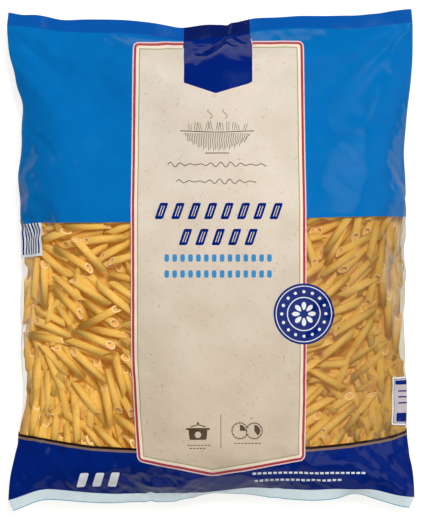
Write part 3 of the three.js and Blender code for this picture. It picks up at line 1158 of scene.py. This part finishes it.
def printed_film(name, colour, shade, roughness=0.17):
    """Glossy clear film over flat ink: a clean even colour with the faintest mottle."""
    material, tree = new_material(name)
    where = add_node(tree, "TexCoord")
    mottle = add_node(tree, "TexNoise", {"Scale": 60.0, "Detail": 3.0}, {"Vector": where.outputs["Object"]})
    ink = add_node(
        tree,
        "Mix",
        {"data_type": "RGBA", 6: linear(colour), 7: linear(shade)},
        {0: mottle.outputs["Fac"]},
    )
    stretch = add_node(tree, "TexNoise", {"Scale": 45.0, "Detail": 2.0}, {"Vector": where.outputs["Object"]})
    bump = add_node(tree, "Bump", {"Strength": 0.25, "Distance": 0.001}, {"Height": stretch.outputs["Fac"]})
    shader = add_node(
        tree,
        "BsdfPrincipled",
        {"Roughness": roughness, "IOR": 1.49},
        {"Base Color": ink.outputs[2], "Normal": bump.outputs["Normal"]},
    )
    add_node(tree, "OutputMaterial", None, {"Surface": shader.outputs["BSDF"]})
    return material


def clear_film(name, colour, body, roughness):
    """Clear polypropylene: what lies behind shows through, and the lights show in it. body is its haze.

    Towards the right side a warm grey tint on what shows through and a small share of grey diffuse are
    painted in, painted shade and painted haze where the light falls off over the right side.
    """
    material, tree = new_material(name)
    where = add_node(tree, "TexCoord")
    stretch = add_node(tree, "TexNoise", {"Scale": 45.0, "Detail": 2.0}, {"Vector": where.outputs["Object"]})
    bump = add_node(tree, "Bump", {"Strength": 0.3, "Distance": 0.001}, {"Height": stretch.outputs["Fac"]})
    # Painted shade and haze towards the right: a warm grey tint on what shows through and a share of grey
    # diffuse.
    place = add_node(tree, "SeparateXYZ", None, {0: where.outputs["Object"]})
    painted_shade_to_right = add_node(
        tree,
        "MapRange",
        {"From Min": 0.05, "From Max": 0.17, "To Min": 0.0, "To Max": 1.0},
        {0: place.outputs["X"]},
    )
    painted_shade_tint = add_node(
        tree,
        "Mix",
        {"data_type": "RGBA", 6: linear(colour), 7: linear("#EBE9DE")},
        {0: painted_shade_to_right.outputs[0]},
    )
    clear = add_node(tree, "BsdfTransparent", None, {"Color": painted_shade_tint.outputs[2]})
    painted_haze = add_node(tree, "BsdfDiffuse", {"Color": linear("#A09484")})
    painted_haze_share = add_node(tree, "Math", {"operation": "MULTIPLY", 1: 0.08}, {0: painted_shade_to_right.outputs[0]})
    through = add_node(
        tree, "MixShader", None, {0: painted_haze_share.outputs[0], 1: clear.outputs[0], 2: painted_haze.outputs[0]}
    )
    gloss = add_node(
        tree,
        "BsdfPrincipled",
        {"Base Color": linear("#FFFFFF"), "Metallic": 1.0, "Roughness": roughness},
        {"Normal": bump.outputs["Normal"]},
    )
    edge_on = add_node(tree, "LayerWeight", {"Blend": 0.5}, {"Normal": bump.outputs["Normal"]})
    mirror = add_node(tree, "Math", {"operation": "POWER", 1: 2.4}, {0: edge_on.outputs["Facing"]})
    share = add_node(tree, "Math", {"operation": "MULTIPLY_ADD", 1: 0.85, 2: body}, {0: mirror.outputs[0]})
    film = add_node(
        tree, "MixShader", None, {0: share.outputs[0], 1: through.outputs[0], 2: gloss.outputs[0]}
    )
    add_node(tree, "OutputMaterial", None, {"Surface": film.outputs[0]})
    return material


# Uncoated paper look: a cream ink with brown fibres and specks printed in it, about 2 mm long. Towards the
# foot of the label it is painted darker and warmer, painted shade where the light falls off downwards.
def paper_print():
    material, tree = new_material("reverse_printed_paper_look")
    where = add_node(tree, "TexCoord")
    cloud = add_node(tree, "TexNoise", {"Scale": 24.0, "Detail": 4.0}, {"Vector": where.outputs["Object"]})
    paper = add_node(
        tree,
        "Mix",
        {"data_type": "RGBA", 6: linear("#EBE0D1"), 7: linear("#CFC0AB")},
        {0: cloud.outputs["Fac"]},
    )
    fibre = add_node(
        tree,
        "TexNoise",
        {"Scale": 300.0, "Detail": 3.0, "Distortion": 1.6},
        {"Vector": where.outputs["Object"]},
    )
    speck = add_node(tree, "ValToRGB", None, {0: fibre.outputs["Fac"]})
    speck.color_ramp.elements[0].position = 0.63
    speck.color_ramp.elements[0].color = (0, 0, 0, 1)
    speck.color_ramp.elements[1].position = 0.72
    speck.color_ramp.elements[1].color = (0.55, 0.55, 0.55, 1)
    flecked = add_node(
        tree,
        "Mix",
        {"data_type": "RGBA", 7: linear("#8E7C64")},
        {0: speck.outputs[0], 6: paper.outputs[2]},
    )
    # Painted shade: the paper darker and warmer towards the foot of the label.
    place = add_node(tree, "SeparateXYZ", None, {0: where.outputs["Object"]})
    height = add_node(
        tree,
        "MapRange",
        {"From Min": -0.22, "From Max": 0.1, "To Min": 0.0, "To Max": 1.0},
        {0: place.outputs["Y"]},
    )
    painted_shade_to_foot = add_node(
        tree,
        "Mix",
        {"data_type": "RGBA", 6: linear("#EEE6DA"), 7: linear("#FAFAFA")},
        {0: height.outputs[0]},
    )
    paper_in_painted_shade = add_node(
        tree,
        "Mix",
        {"data_type": "RGBA", "blend_type": "MULTIPLY", 0: 1.0},
        {6: flecked.outputs[2], 7: painted_shade_to_foot.outputs[2]},
    )
    shader = add_node(
        tree, "BsdfPrincipled", {"Roughness": 0.3, "IOR": 1.49}, {"Base Color": paper_in_painted_shade.outputs[2]}
    )
    add_node(tree, "OutputMaterial", None, {"Surface": shader.outputs["BSDF"]})
    return material


film_materials = {
    "window": clear_film("clear_cast_polypropylene", "#FFFEFC", 0.035, 0.13),
    "blue": printed_film("reverse_printed_blue", "#0070BA", "#0065AB"),
    "navy": printed_film("reverse_printed_navy", "#00237A", "#001C6A"),
    "black": printed_film("reverse_printed_black", "#2A1812", "#24140F"),
    "silver": printed_film("reverse_printed_silver", "#8B7064", "#7A6256", 0.25),
    "pale": printed_film("reverse_printed_blush", "#F2D6CE", "#EBC9C0"),
    # White ink painted a lilac grey: painted shade and haze on the right side panel.
    "pearl": printed_film("reverse_printed_white_painted_shade", "#CDC3C6", "#C1B6BA"),
    "red": printed_film("reverse_printed_red", "#B5404F", "#A63644"),
    "ivory": printed_film("reverse_printed_ivory", "#F8E6D0", "#F1DCC4"),
    "green": printed_film("reverse_printed_olive", "#A9A87F", "#9E9D74"),
    "paper": paper_print(),
    "white": printed_film("reverse_printed_white", "#EEF0F2", "#E2E5E8"),
    "brown": printed_film("reverse_printed_brown", "#5A4632", "#4C3A29"),
    "teal": printed_film("cut_film_edge", "#63A9BC", "#529AAF"),
    "azure": printed_film("reverse_printed_azure", "#3E8FC6", "#3684BA"),
    "sealed blue": printed_film("heat_sealed_blue", "#0059AD", "#004E9F", 0.24),
    "sealed navy": printed_film("heat_sealed_navy", "#081C62", "#061751", 0.24),
}


# Bottom seal: two clear layers fused between heated jaws, which leave them hazy and faintly teal.
def fused_film():
    material, tree = new_material("heat_sealed_clear_film")
    where = add_node(tree, "TexCoord")
    haze = add_node(tree, "TexNoise", {"Scale": 70.0, "Detail": 3.0}, {"Vector": where.outputs["Object"]})
    share = add_node(
        tree,
        "Math",
        {"operation": "MULTIPLY_ADD", 1: 0.9, 2: -0.05, "use_clamp": True},
        {0: haze.outputs["Fac"]},
    )
    through = add_node(tree, "BsdfTransparent", {"Color": linear("#DCEAEE")})
    body = add_node(
        tree, "BsdfPrincipled", {"Base Color": linear("#C6D6DC"), "Roughness": 0.16, "IOR": 1.49}
    )
    film = add_node(
        tree, "MixShader", None, {0: share.outputs[0], 1: through.outputs[0], 2: body.outputs[0]}
    )
    add_node(tree, "OutputMaterial", None, {"Surface": film.outputs[0]})
    return material


film_materials["sealed clear"] = fused_film()
fused_once = (middle_along > -HALF_LENGTH) | (np.abs(middle_around) < HALF_TUBE / 2)
ink_names = list(film_materials)
face_inks = []
for face, ink in enumerate(film_inks):
    if middle_along[face] > HALF_LENGTH and ink in ("blue", "navy"):
        ink = "sealed " + ink
    if middle_along[face] < -HALF_LENGTH and ink != "teal":
        ink = "sealed clear"
    face_inks.append(ink)
face_inks = np.array(face_inks)
see_through = np.isin(face_inks, ["window", "sealed clear"])
for name, kept, slot_name in (
    ("printed_film", ~see_through & fused_once, "film"),
    ("clear_film", see_through & fused_once, "clear_film"),
):
    chosen_faces = film_faces[kept]
    used, renumbered = np.unique(chosen_faces, return_inverse=True)
    mesh = bpy.data.meshes.new(name)
    mesh.from_pydata((film_points[used] / 1000).tolist(), [], renumbered.reshape(-1, 3).tolist())
    mesh.polygons.foreach_set("use_smooth", [True] * len(chosen_faces))
    worn = [ink for ink in ink_names if ink in set(face_inks[kept])]
    for ink in worn:
        mesh.materials.append(film_materials[ink])
    mesh.polygons.foreach_set("material_index", [worn.index(ink) for ink in face_inks[kept]])
    mesh.update()
    mesh.normals_split_custom_set_from_vertices(film_out[used].tolist())
    film_piece = bpy.data.objects.new(name, mesh)
    bpy.context.scene.collection.objects.link(film_piece)
    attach(film_piece, "root")
    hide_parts("bag")


# Fin seal. The sheet becomes a tube where its two edges are fused face to face, and the 12 mm fin that
# they make is folded flat down the middle of the back.
FIN_WIDTH = 12.0
FIN_THICKNESS = 0.15
FIN_GAP = 0.25
FIN_COLUMNS = 5
fin_across = np.linspace(HALF_TUBE - FIN_WIDTH, HALF_TUBE, FIN_COLUMNS)
fin_along = np.linspace(-HALF_LENGTH, HALF_LENGTH, 160)
fin_grid = np.meshgrid(fin_across, fin_along)
fin_point, fin_out = film_frame(*fin_grid)
fin_point += fin_out * film_relief(*fin_grid)[..., None]
fin_layers = [fin_point + fin_out * (FIN_GAP + FIN_THICKNESS * layer) for layer in (1, 0)]
fin_corners = np.concatenate([layer.reshape(-1, 3) for layer in fin_layers])
lower = fin_point[..., 0].size
fin_faces = []
for row in range(len(fin_along) - 1):
    first = row * FIN_COLUMNS
    for a in range(first, first + FIN_COLUMNS - 1):
        b = a + 1
        c = b + FIN_COLUMNS
        d = a + FIN_COLUMNS
        fin_faces += [(a, b, c, d), (lower + d, lower + c, lower + b, lower + a)]
    for a, flip in ((first, 1), (first + FIN_COLUMNS - 1, -1)):
        d = a + FIN_COLUMNS
        fin_faces.append((a, d, lower + d, lower + a)[::flip])
for first, flip in ((0, -1), ((len(fin_along) - 1) * FIN_COLUMNS, 1)):
    for a in range(first, first + FIN_COLUMNS - 1):
        fin_faces.append((a, a + 1, lower + a + 1, lower + a)[::flip])
fin_mesh = bpy.data.meshes.new("fin_seal")
fin_mesh.from_pydata((fin_corners / 1000).tolist(), [], fin_faces)
fin_mesh.update()
for ink in ("sealed blue", "sealed clear", "sealed navy"):
    fin_mesh.materials.append(film_materials[ink])
for face in fin_mesh.polygons:
    level = face.center.y * 1000
    if level > WINDOW_TOP:
        face.material_index = 0
    elif level > WINDOW_BOTTOM + 10:
        face.material_index = 1
    else:
        face.material_index = 2
fin_seal = bpy.data.objects.new("fin_seal", fin_mesh)
bpy.context.scene.collection.objects.link(fin_seal)
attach(fin_seal, "root")
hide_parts("bag")


# Floor and light. A white paper sweep, soft light from everywhere, a key light beyond the top right of
# the packet, and dim white panels to its right, below and above it, which the film mirrors as haze.
floor_mesh = bpy.data.meshes.new("studio_floor")
floor_mesh.from_pydata([(-6, -6, 0), (6, -6, 0), (6, 6, 0), (-6, 6, 0)], [], [(0, 1, 2, 3)])
floor = bpy.data.objects.new("studio_floor", floor_mesh)
bpy.context.scene.collection.objects.link(floor)
floor_material, floor_tree = new_material("white_paper_sweep")
floor_seen = add_node(floor_tree, "LightPath")
floor_glow = add_node(
    floor_tree,
    "Math",
    {"operation": "MULTIPLY_ADD", 1: -0.6, 2: 0.8},
    {0: floor_seen.outputs["Is Glossy Ray"]},
)
floor_shader = add_node(
    floor_tree,
    "BsdfPrincipled",
    {"Base Color": linear("#A8A7A5"), "Roughness": 0.9, "Emission Color": linear("#FFFEFB")},
    {"Emission Strength": floor_glow.outputs[0]},
)
add_node(floor_tree, "OutputMaterial", None, {"Surface": floor_shader.outputs["BSDF"]})
floor_mesh.materials.append(floor_material)
floor.visible_diffuse = False

world = bpy.data.worlds.new("studio")
world.use_nodes = True
world.node_tree.nodes["Background"].inputs["Color"].default_value = (1, 1, 1, 1)
world.node_tree.nodes["Background"].inputs["Strength"].default_value = 0.3
world.cycles_visibility.glossy = False
bpy.context.scene.world = world


def soft_light(name, place, size, power, mirrored):
    light = bpy.data.lights.new(name, "AREA")
    light.shape = "RECTANGLE"
    light.size, light.size_y = size
    light.energy = power
    lamp = bpy.data.objects.new(name, light)
    lamp.location = place
    lamp.rotation_euler = (Vector((0, 0, 0.04)) - Vector(place)).to_track_quat("-Z", "Y").to_euler()
    lamp.visible_glossy = mirrored
    bpy.context.scene.collection.objects.link(lamp)


soft_light("overhead", (0.35, 0.95, 2.3), (0.8, 0.8), 50.0, False)
soft_light("right_panel", (1.3, 0.1, 0.85), (1.6, 1.4), 0.7, True)
soft_light("lower_panel", (0.35, -1.5, 0.55), (1.6, 0.7), 1.0, True)
soft_light("high_panel", (0.72, -0.72, 1.85), (1.1, 1.0), 2.0, True)
soft_light("sparkle", (-1.2, 1.1, 1.0), (0.2, 0.2), 0.4, True)
bpy.context.scene.view_settings.view_transform = "Standard"
